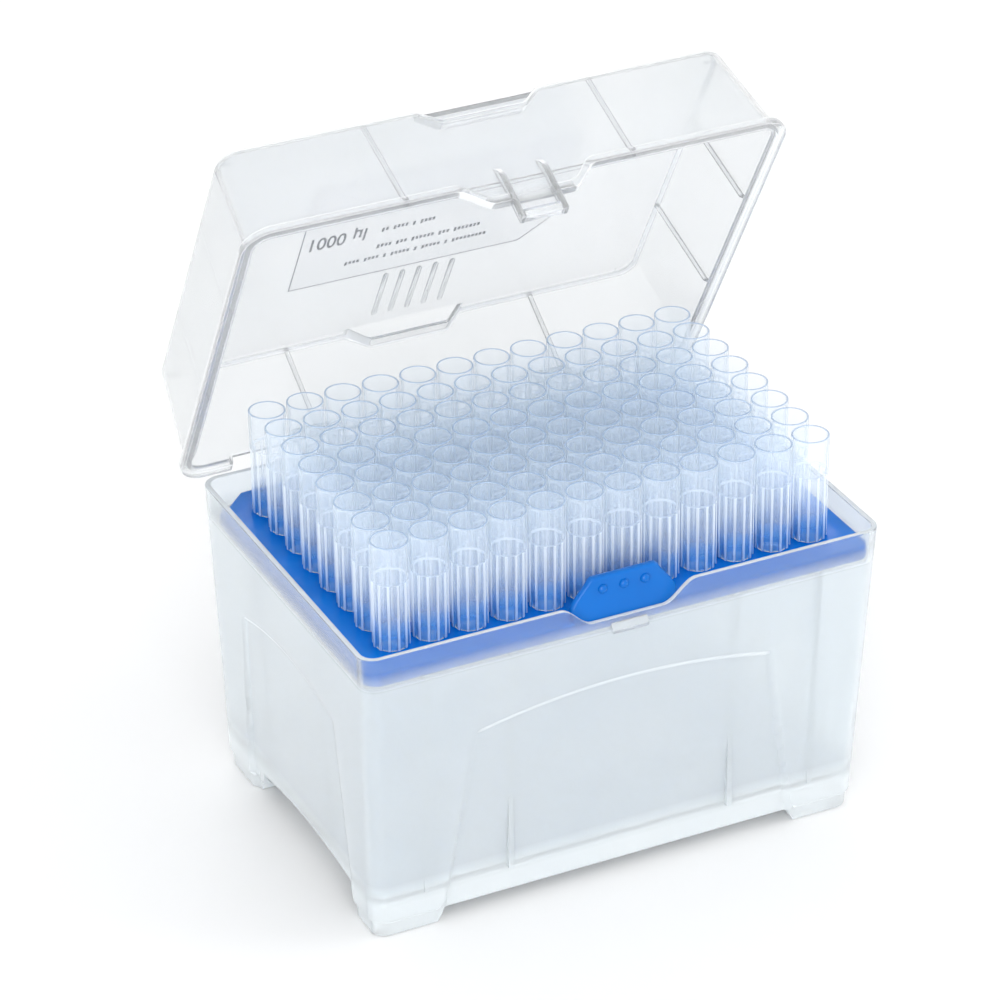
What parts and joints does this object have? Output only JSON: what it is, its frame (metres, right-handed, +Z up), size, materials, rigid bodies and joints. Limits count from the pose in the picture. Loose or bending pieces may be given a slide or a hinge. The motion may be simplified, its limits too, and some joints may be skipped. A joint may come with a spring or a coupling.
{
  "type": "pipette tip rack",
  "caption": "Hinged box of disposable pipette tips: a frosted base on corner feet, a blue lift-out plate full of clear tips, and a clear snap-shut lid.",
  "frame": {"origin": "on the surface that the rack stands on, below the middle of the grid of tips", "axes": "+X along the front from left to right, +Y from the front to the hinges at the rear, +Z up"},
  "size_m": [0.1278, 0.1141, 0.157],
  "materials": {
    "frosted_base": "frosted translucent polypropylene, faintly blue",
    "blue_plate": "glossy moulded polypropylene, bright blue",
    "clear_lid": "clear polypropylene, glossy, slightly hazy",
    "label_film": "clear film with dark print",
    "clear_tips": "clear natural polypropylene"
  },
  "bodies": {
    "base": {"base_box": "frosted_base"},
    "plate": {"tip_plate": "blue_plate"},
    "lid": {"lid": "clear_lid", "lid_label": "label_film"},
    "tips_column_01_body": {"tips_column_01": "clear_tips"},
    "tips_column_02_body": {"tips_column_02": "clear_tips"},
    "tips_column_03_body": {"tips_column_03": "clear_tips"},
    "tips_column_04_body": {"tips_column_04": "clear_tips"},
    "tips_column_05_body": {"tips_column_05": "clear_tips"},
    "tips_column_06_body": {"tips_column_06": "clear_tips"},
    "tips_column_07_body": {"tips_column_07": "clear_tips"},
    "tips_column_08_body": {"tips_column_08": "clear_tips"},
    "tips_column_09_body": {"tips_column_09": "clear_tips"},
    "tips_column_10_body": {"tips_column_10": "clear_tips"},
    "tips_column_11_body": {"tips_column_11": "clear_tips"},
    "tip_a12_body": {"tip_a12": "clear_tips"},
    "tip_b12_body": {"tip_b12": "clear_tips"},
    "tip_c12_body": {"tip_c12": "clear_tips"},
    "tip_d12_body": {"tip_d12": "clear_tips"},
    "tip_e12_body": {"tip_e12": "clear_tips"},
    "tip_f12_body": {"tip_f12": "clear_tips"},
    "tip_g12_body": {"tip_g12": "clear_tips"},
    "tip_h12_body": {"tip_h12": "clear_tips"}
  },
  "joints": [
    {"name": "lid_hinge", "type": "hinge", "parent": "base", "child": "lid", "pos_m": [0, 0.0456, 0.0672], "axis": [-1, 0, 0], "range_deg": [-60, 50]},
    {"name": "plate_lift", "type": "slide", "parent": "base", "child": "plate", "axis": [0, 0, 1], "range_m": [0, 0.016]},
    {"name": "tips_column_01_lift", "type": "slide", "parent": "plate", "child": "tips_column_01_body", "axis": [0, 0, 1], "range_m": [0, 0.045]},
    {"name": "tips_column_02_lift", "type": "slide", "parent": "plate", "child": "tips_column_02_body", "axis": [0, 0, 1], "range_m": [0, 0.045]},
    {"name": "tips_column_03_lift", "type": "slide", "parent": "plate", "child": "tips_column_03_body", "axis": [0, 0, 1], "range_m": [0, 0.045]},
    {"name": "tips_column_04_lift", "type": "slide", "parent": "plate", "child": "tips_column_04_body", "axis": [0, 0, 1], "range_m": [0, 0.045]},
    {"name": "tips_column_05_lift", "type": "slide", "parent": "plate", "child": "tips_column_05_body", "axis": [0, 0, 1], "range_m": [0, 0.045]},
    {"name": "tips_column_06_lift", "type": "slide", "parent": "plate", "child": "tips_column_06_body", "axis": [0, 0, 1], "range_m": [0, 0.045]},
    {"name": "tips_column_07_lift", "type": "slide", "parent": "plate", "child": "tips_column_07_body", "axis": [0, 0, 1], "range_m": [0, 0.045]},
    {"name": "tips_column_08_lift", "type": "slide", "parent": "plate", "child": "tips_column_08_body", "axis": [0, 0, 1], "range_m": [0, 0.045]},
    {"name": "tips_column_09_lift", "type": "slide", "parent": "plate", "child": "tips_column_09_body", "axis": [0, 0, 1], "range_m": [0, 0.045]},
    {"name": "tips_column_10_lift", "type": "slide", "parent": "plate", "child": "tips_column_10_body", "axis": [0, 0, 1], "range_m": [0, 0.045]},
    {"name": "tips_column_11_lift", "type": "slide", "parent": "plate", "child": "tips_column_11_body", "axis": [0, 0, 1], "range_m": [0, 0.045]},
    {"name": "tip_a12_lift", "type": "slide", "parent": "plate", "child": "tip_a12_body", "axis": [0, 0, 1], "range_m": [0, 0.045]},
    {"name": "tip_b12_lift", "type": "slide", "parent": "plate", "child": "tip_b12_body", "axis": [0, 0, 1], "range_m": [0, 0.045]},
    {"name": "tip_c12_lift", "type": "slide", "parent": "plate", "child": "tip_c12_body", "axis": [0, 0, 1], "range_m": [0, 0.045]},
    {"name": "tip_d12_lift", "type": "slide", "parent": "plate", "child": "tip_d12_body", "axis": [0, 0, 1], "range_m": [0, 0.045]},
    {"name": "tip_e12_lift", "type": "slide", "parent": "plate", "child": "tip_e12_body", "axis": [0, 0, 1], "range_m": [0, 0.045]},
    {"name": "tip_f12_lift", "type": "slide", "parent": "plate", "child": "tip_f12_body", "axis": [0, 0, 1], "range_m": [0, 0.045]},
    {"name": "tip_g12_lift", "type": "slide", "parent": "plate", "child": "tip_g12_body", "axis": [0, 0, 1], "range_m": [0, 0.045]},
    {"name": "tip_h12_lift", "type": "slide", "parent": "plate", "child": "tip_h12_body", "axis": [0, 0, 1], "range_m": [0, 0.045]}
  ]
}
